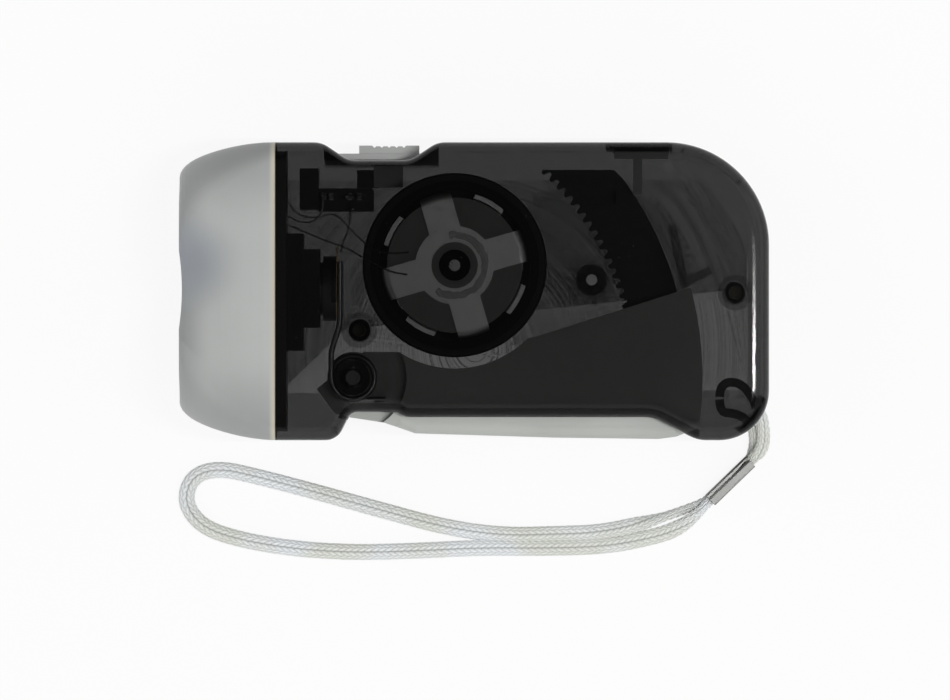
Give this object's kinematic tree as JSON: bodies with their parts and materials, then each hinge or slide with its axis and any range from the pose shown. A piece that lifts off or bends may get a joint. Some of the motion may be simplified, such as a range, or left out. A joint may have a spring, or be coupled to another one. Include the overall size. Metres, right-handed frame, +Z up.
{
  "type": "hand squeeze flashlight",
  "caption": "Hand squeeze dynamo flashlight in smoke clear plastic with a frosted head, a press lever, a gear train, a switch, a lock and a wrist strap.",
  "frame": {"origin": "on the surface that it lies on, under the middle of the body", "axes": "+X from the head to the tail, +Y from the press lever to the switch side, +Z up out of the side that it lies on"},
  "size_m": [0.1057, 0.0743, 0.03],
  "materials": {
    "clear_smoke": "gloss, smoke tinted, see-through",
    "frosted_cap": "satin, frosted",
    "clear_lens": "gloss, clear",
    "mirror_bowl": "vacuum plated",
    "led_epoxy": "gloss",
    "board_green": "satin",
    "black_plastic": "satin",
    "cell_steel": "bright",
    "contact_brass": "bright",
    "axle_steel": "bright",
    "pale_plastic": "satin, translucent white",
    "lever_grey": "satin",
    "flywheel_steel": "dark, machined",
    "ferrite": "matt, pressed ferrite",
    "claw_steel": "bright zinc plated",
    "bobbin_clear": "satin",
    "copper": "enamelled copper wire",
    "spring_steel": "bright",
    "knob_grey": "satin",
    "screw_zinc": "yellow zinc plated",
    "solder": "dull solder",
    "lead_enamel": "enamelled wire",
    "lead_black": "gloss",
    "strap_white": "braided nylon",
    "ferrule_steel": "nickel plated"
  },
  "bodies": {
    "housing": {"lower_shell": "clear_smoke", "upper_shell": "clear_smoke", "head_cap": "frosted_cap", "front_lens": "clear_lens", "reflector_1": "mirror_bowl", "reflector_2": "mirror_bowl", "led_1": "led_epoxy", "led_2": "led_epoxy", "led_board": "board_green", "lamp_frame": "black_plastic", "cell_holder": "black_plastic", "button_cells": "cell_steel", "cell_contact": "contact_brass", "idler_axle": "axle_steel", "flywheel_axle": "axle_steel", "stator_front": "claw_steel", "stator_rear": "claw_steel", "bobbin": "bobbin_clear", "coil_winding": "copper", "pivot_pin": "axle_steel", "return_spring": "spring_steel", "switch_body": "black_plastic", "switch_terminals": "solder", "switch_bracket": "black_plastic", "housing_screws": "screw_zinc", "coil_lead_1": "lead_enamel", "coil_lead_2": "lead_enamel", "switch_lead": "lead_black", "cell_lead": "lead_enamel", "strap_cord": "strap_white", "strap_ferrule": "ferrule_steel"},
    "lever": {"lever": "lever_grey", "sector_gear": "black_plastic", "sector_screws": "screw_zinc"},
    "idler": {"idler_wheel": "pale_plastic", "drive_pinion": "pale_plastic"},
    "flywheel": {"flywheel": "flywheel_steel", "ring_magnet": "ferrite", "flywheel_pinion": "pale_plastic"},
    "switch": {"switch_knob": "knob_grey", "switch_tab": "black_plastic"},
    "lock": {"lock_slider": "black_plastic"}
  },
  "joints": [
    {"name": "flywheel_spin", "type": "hinge", "parent": "housing", "child": "flywheel", "pos_m": [-0.00341, 0.00464, 0.015], "axis": [0, 0, -1], "range_deg": [-693.6, 0]},
    {"name": "lever_pivot", "type": "hinge", "parent": "housing", "child": "lever", "pos_m": [-0.02152, -0.01538, 0.015], "axis": [0, 0, -1], "range_deg": [0, 21]},
    {"name": "idler_spin", "type": "hinge", "parent": "housing", "child": "idler", "pos_m": [0.02095, 0.00204, 0.015], "axis": [0, 0, -1], "range_deg": [0, 251]},
    {"name": "switch_slide", "type": "slide", "parent": "housing", "child": "switch", "axis": [-1, 0, 0], "range_m": [0, 0.0025]},
    {"name": "lock_slide", "type": "slide", "parent": "housing", "child": "lock", "axis": [-1, 0, 0], "range_m": [0, 0.0012]}
  ],
  "couplings": [
    {"joint": "lever_pivot", "follows": "flywheel_spin", "ratio": -0.030273},
    {"joint": "idler_spin", "follows": "flywheel_spin", "ratio": -0.36111}
  ]
}
